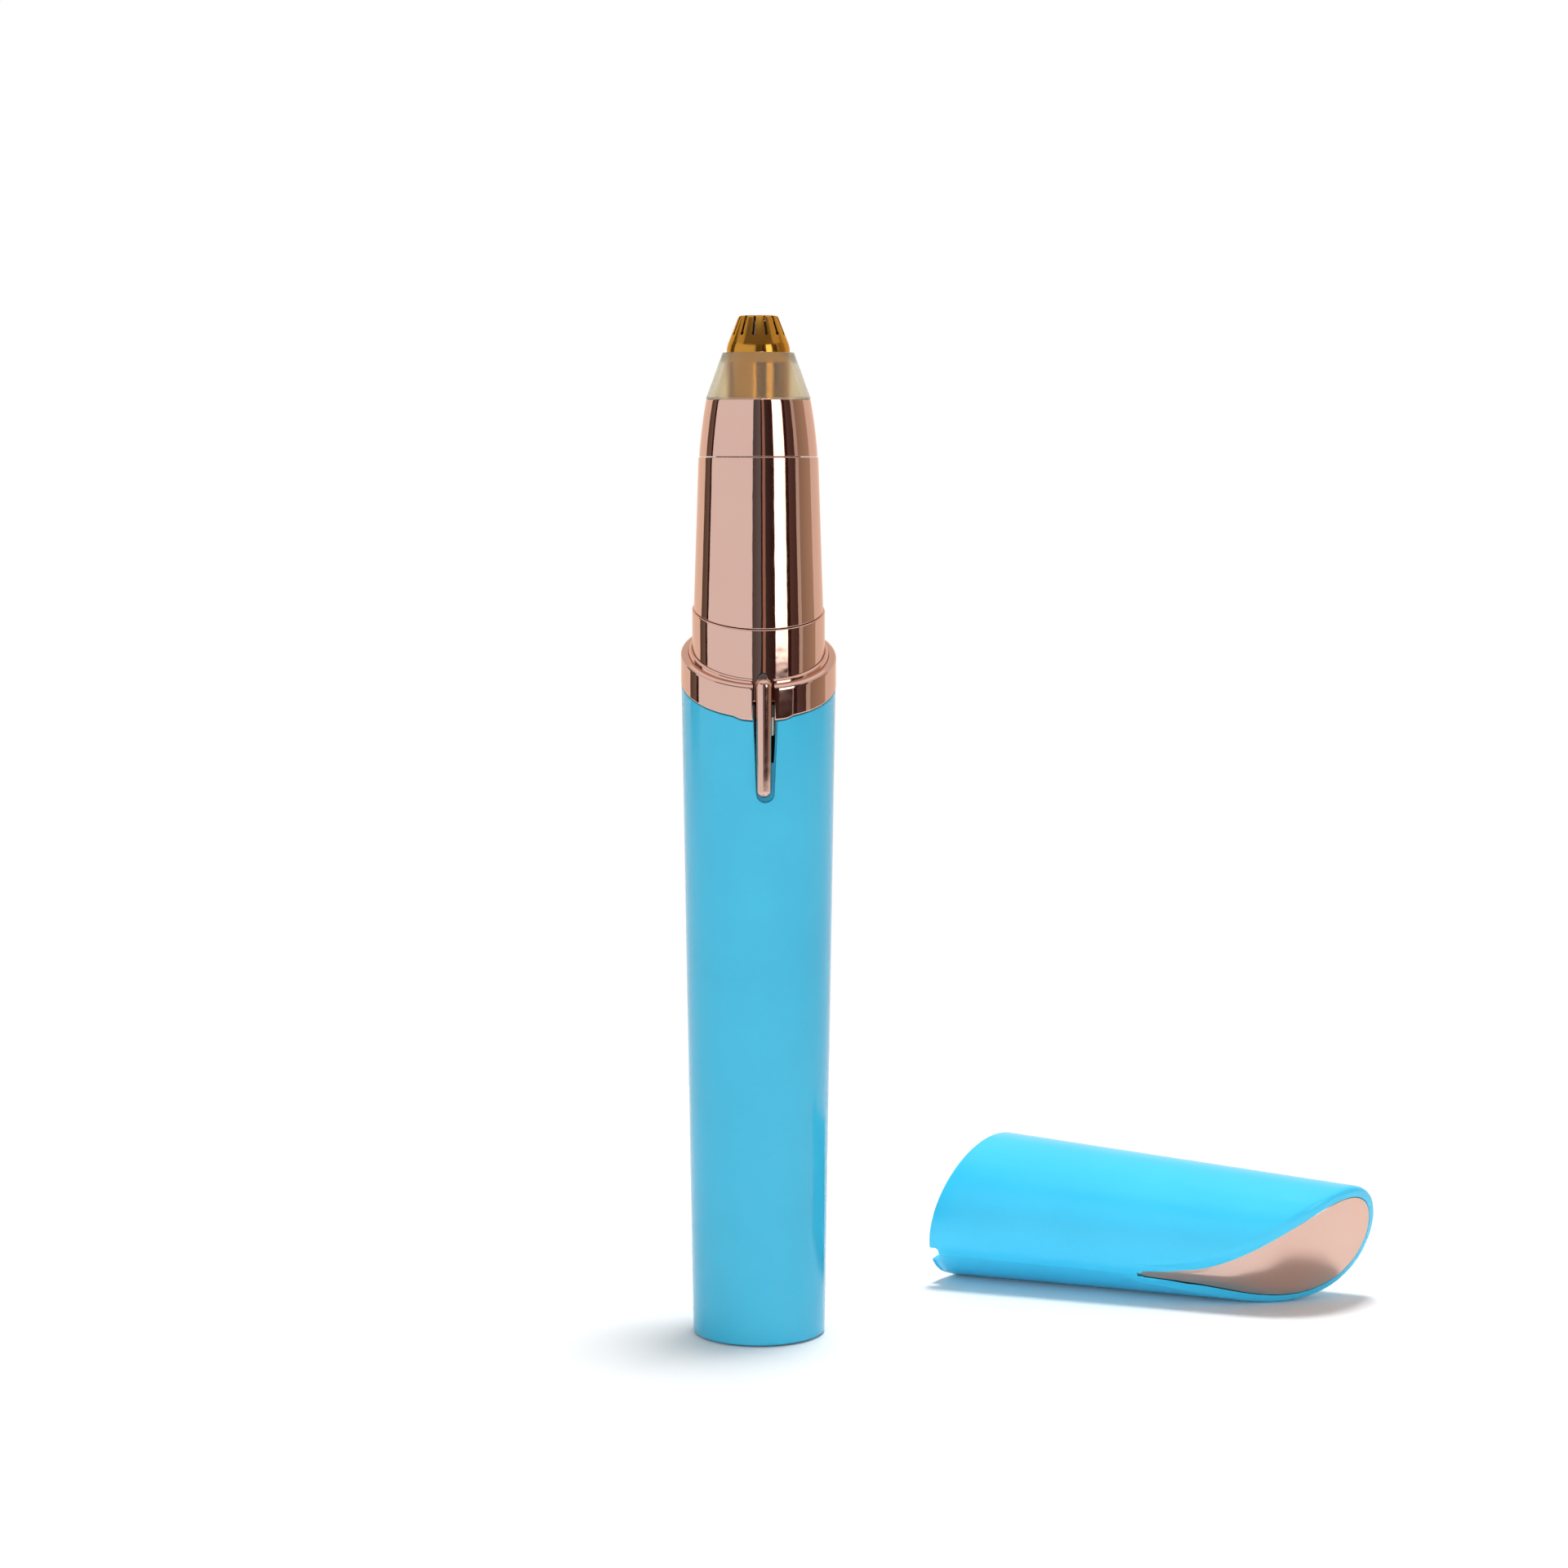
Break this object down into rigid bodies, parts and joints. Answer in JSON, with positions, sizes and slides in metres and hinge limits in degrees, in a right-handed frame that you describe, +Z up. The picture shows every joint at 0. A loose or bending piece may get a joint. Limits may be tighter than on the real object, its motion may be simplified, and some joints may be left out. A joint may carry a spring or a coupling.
{
  "type": "electric eyebrow trimmer",
  "caption": "Slim upright eyebrow trimmer with a tapered blue handle, slanted rose-gold collar and sleeve, slotted gold foil head and slide clip, its scooped cap lying beside it.",
  "frame": {"origin": "centre of the barrel's flat base", "axes": "+Z up along the trimmer's axis, towards the cutting head; +X along the lying cap, from its mouth to its scooped end; the clip faces 25.8 degrees round from -Y towards +X"},
  "size_m": [0.0778, 0.0571, 0.1256],
  "materials": {
    "barrel_blue": "glossy moulded blue plastic",
    "cap_blue": "glossy moulded light blue plastic",
    "rose_gold": "mirror rose-gold electroplate on plastic",
    "satin_rose": "satin rose-gold plate",
    "gold_foil": "bright gold plating on thin metal",
    "frosted_guard": "frosted see-through plastic",
    "clear_lens": "clear moulded plastic",
    "steel": "ground steel",
    "nickel": "nickel plate",
    "copper": "bare copper alloy",
    "ferrite": "sintered ferrite",
    "grey_plastic": "moulded grey plastic",
    "black_plastic": "moulded black plastic",
    "white_plastic": "moulded white plastic",
    "red_plastic": "red wire sleeve",
    "rubber": "moulded black rubber",
    "cell_jacket": "plain printed jacket",
    "board": "solder-masked board"
  },
  "bodies": {
    "barrel": {"barrel_shell": "barrel_blue", "base_pad": "rubber"},
    "chassis": {"collar_ring": "rose_gold", "neck_ring": "rose_gold", "upper_sleeve": "rose_gold", "light_lens": "clear_lens", "light_emitter": "white_plastic", "chassis_frame": "grey_plastic", "bay_cover": "grey_plastic", "cover_screw": "steel", "battery_cell": "cell_jacket", "negative_spring": "nickel", "positive_contact": "nickel", "contact_strip": "nickel", "circuit_board": "board", "switch_body": "black_plastic", "lead_red": "red_plastic", "lead_black": "black_plastic", "motor_terminal_left": "nickel", "motor_terminal_right": "nickel", "motor_end_cap": "white_plastic", "motor_can": "nickel", "motor_bearing": "copper", "motor_magnet_left": "ferrite", "motor_magnet_right": "ferrite", "motor_damper_lower": "rubber", "motor_damper_upper": "rubber"},
    "switch": {"switch_clip": "rose_gold", "switch_stem": "black_plastic", "switch_lever": "white_plastic"},
    "rotor": {"motor_shaft": "steel", "armature_core": "steel", "armature_coil_1": "copper", "armature_coil_2": "copper", "armature_coil_3": "copper", "commutator": "copper", "drive_coupling": "white_plastic"},
    "head": {"head_ring": "rose_gold", "head_frame": "white_plastic", "spindle_bush": "copper", "guard_cone": "frosted_guard", "foil_cap": "gold_foil"},
    "cutter": {"cutter_head": "steel", "cutter_spindle": "steel", "cutter_spring": "steel"},
    "cap": {"cap_shell": "cap_blue", "cap_inlay": "satin_rose"}
  },
  "joints": [
    {"name": "chassis_slide", "type": "slide", "parent": "barrel", "child": "chassis", "axis": [0, 0, 1], "range_m": [0, 0.085]},
    {"name": "switch_slide", "type": "slide", "parent": "chassis", "child": "switch", "axis": [0, 0, 1], "range_m": [0, 0.002]},
    {"name": "motor_spin", "type": "hinge", "parent": "chassis", "child": "rotor", "pos_m": [0, 0, 0], "axis": [0, 0, 1], "continuous": true},
    {"name": "head_slide", "type": "slide", "parent": "chassis", "child": "head", "axis": [0, 0, 1], "range_m": [0, 0.02]},
    {"name": "cutter_spin", "type": "hinge", "parent": "head", "child": "cutter", "pos_m": [0, 0, 0], "axis": [0, 0, 1], "continuous": true},
    {"name": "cap_lift", "type": "slide", "parent": "barrel", "child": "cap", "axis": [0, 0, 1], "range_m": [0, 0.1]}
  ],
  "couplings": [
    {"joint": "cutter_spin", "follows": "motor_spin", "ratio": 1}
  ]
}
